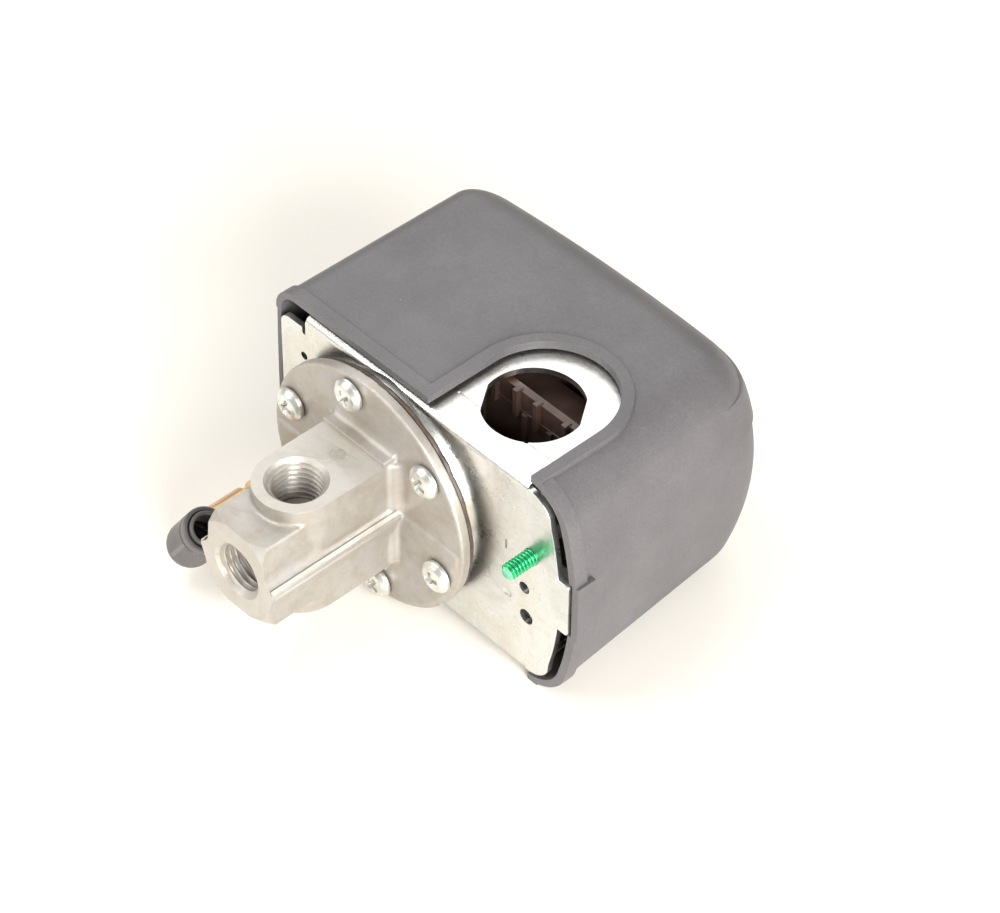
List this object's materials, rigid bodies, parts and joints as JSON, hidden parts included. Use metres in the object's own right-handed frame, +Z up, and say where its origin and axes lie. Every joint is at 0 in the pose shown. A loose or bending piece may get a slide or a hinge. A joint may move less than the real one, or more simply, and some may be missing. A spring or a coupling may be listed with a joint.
{
  "type": "pressure switch",
  "caption": "Diaphragm pressure switch for an air compressor: cast three-port manifold, plated base plate, black moulded cover, release valve with elbow, and full lever and contact works.",
  "frame": {"origin": "bottom centre of the whole switch as it lies on its wide side", "axes": "+Y from the end port to the cover's closed end, +X along the base plate towards the earth screw, +Z up"},
  "size_m": [0.0934, 0.1076, 0.0606],
  "materials": {
    "cast_aluminium": "die-cast, satin, slightly grainy",
    "zinc_plated_steel": "bright zinc plating",
    "rubber": "dull moulded sheet",
    "white_plastic": "moulded, off-white",
    "spring_steel": "drawn wire",
    "brass": "machined and lightly tarnished",
    "phenolic": "moulded dark brown",
    "green_plated_steel": "green plated thread",
    "black_plastic": "fine-grained black moulding",
    "grey_plastic": "smooth moulding"
  },
  "bodies": {
    "base": {"manifold": "cast_aluminium", "flange_screw_1": "zinc_plated_steel", "flange_screw_2": "zinc_plated_steel", "flange_screw_3": "zinc_plated_steel", "flange_screw_4": "zinc_plated_steel", "flange_screw_5": "zinc_plated_steel", "flange_screw_6": "zinc_plated_steel", "diaphragm": "rubber", "base_plate": "zinc_plated_steel", "pivot_bracket": "zinc_plated_steel", "pivot_pin": "spring_steel", "range_stud": "zinc_plated_steel", "range_spring": "spring_steel", "diff_stud": "zinc_plated_steel", "diff_spring": "spring_steel", "contact_block": "phenolic", "block_bracket_upper": "zinc_plated_steel", "block_bracket_lower": "zinc_plated_steel", "terminal_strip_1": "brass", "terminal_strip_2": "brass", "terminal_strip_3": "brass", "terminal_strip_4": "brass", "terminal_screw_1": "brass", "terminal_screw_2": "brass", "terminal_screw_3": "brass", "terminal_screw_4": "brass", "ground_screw": "green_plated_steel", "valve_body": "brass", "valve_nut": "brass"},
    "plunger_body": {"plunger": "white_plastic"},
    "lever_body": {"pressure_lever": "zinc_plated_steel"},
    "carrier_body": {"contact_carrier": "white_plastic", "contact_bar_upper": "brass", "contact_bar_lower": "brass", "contact_spring_upper": "spring_steel", "contact_spring_lower": "spring_steel"},
    "stem_body": {"valve_stem": "spring_steel"},
    "range_cap_body": {"range_cap": "zinc_plated_steel"},
    "range_nut_body": {"range_nut": "brass"},
    "diff_cap_body": {"diff_cap": "zinc_plated_steel"},
    "diff_nut_body": {"diff_nut": "brass"},
    "elbow": {"elbow_body": "black_plastic", "tube_seal": "rubber"},
    "collet_body": {"release_collet": "grey_plastic"},
    "cover_body": {"cover": "black_plastic"},
    "cover_nut_body": {"cover_nut": "black_plastic"}
  },
  "joints": [
    {"name": "plunger_slide", "type": "slide", "parent": "base", "child": "plunger_body", "axis": [0, 1, 0], "range_m": [0, 0.0012], "stiffness_N_per_m": 4000, "springref_m": -0.002},
    {"name": "lever_pivot", "type": "hinge", "parent": "base", "child": "lever_body", "pos_m": [-0.032, 0, 0.0303], "axis": [0, 0, 1], "range_deg": [0, 3.2], "deforming": ["range_spring", "diff_spring"]},
    {"name": "carrier_slide", "type": "slide", "parent": "base", "child": "carrier_body", "axis": [0, 1, 0], "range_m": [0, 0.0031]},
    {"name": "stem_slide", "type": "slide", "parent": "base", "child": "stem_body", "axis": [0, -1, 0], "range_m": [0, 0.0004]},
    {"name": "range_cap_slide", "type": "slide", "parent": "base", "child": "range_cap_body", "axis": [0, -1, 0], "range_m": [0, 0.006], "deforming": ["range_spring"]},
    {"name": "range_nut_turn", "type": "hinge", "parent": "range_cap_body", "child": "range_nut_body", "pos_m": [0.004, 0.0279, 0.0303], "axis": [0, 1, 0], "range_deg": [0, 2165]},
    {"name": "diff_cap_slide", "type": "slide", "parent": "base", "child": "diff_cap_body", "axis": [0, -1, 0], "range_m": [0, 0.003], "deforming": ["diff_spring"]},
    {"name": "diff_nut_turn", "type": "hinge", "parent": "diff_cap_body", "child": "diff_nut_body", "pos_m": [-0.0225, 0.0169, 0.0303], "axis": [0, 1, 0], "range_deg": [0, 1550]},
    {"name": "elbow_swivel", "type": "hinge", "parent": "base", "child": "elbow", "pos_m": [-0.0384, -0.0438, 0.0102], "axis": [0, 1, 0], "continuous": true},
    {"name": "collet_press", "type": "slide", "parent": "elbow", "child": "collet_body", "axis": [-0.5592, 0, -0.829], "range_m": [0, 0.001]},
    {"name": "cover_slide", "type": "slide", "parent": "base", "child": "cover_body", "axis": [0, 1, 0], "range_m": [0, 0.07]},
    {"name": "cover_nut_turn", "type": "hinge", "parent": "cover_body", "child": "cover_nut_body", "pos_m": [0.004, 0.05, 0.0303], "axis": [0, 1, 0], "continuous": true}
  ],
  "couplings": [
    {"joint": "lever_pivot", "follows": "plunger_slide", "rad_per_m": 46.083},
    {"joint": "carrier_slide", "follows": "plunger_slide", "ratio": 2.4885},
    {"joint": "stem_slide", "follows": "plunger_slide", "ratio": 0.29493},
    {"joint": "range_nut_turn", "follows": "range_cap_slide", "rad_per_m": 6283.2},
    {"joint": "diff_nut_turn", "follows": "diff_cap_slide", "rad_per_m": 8976}
  ]
}
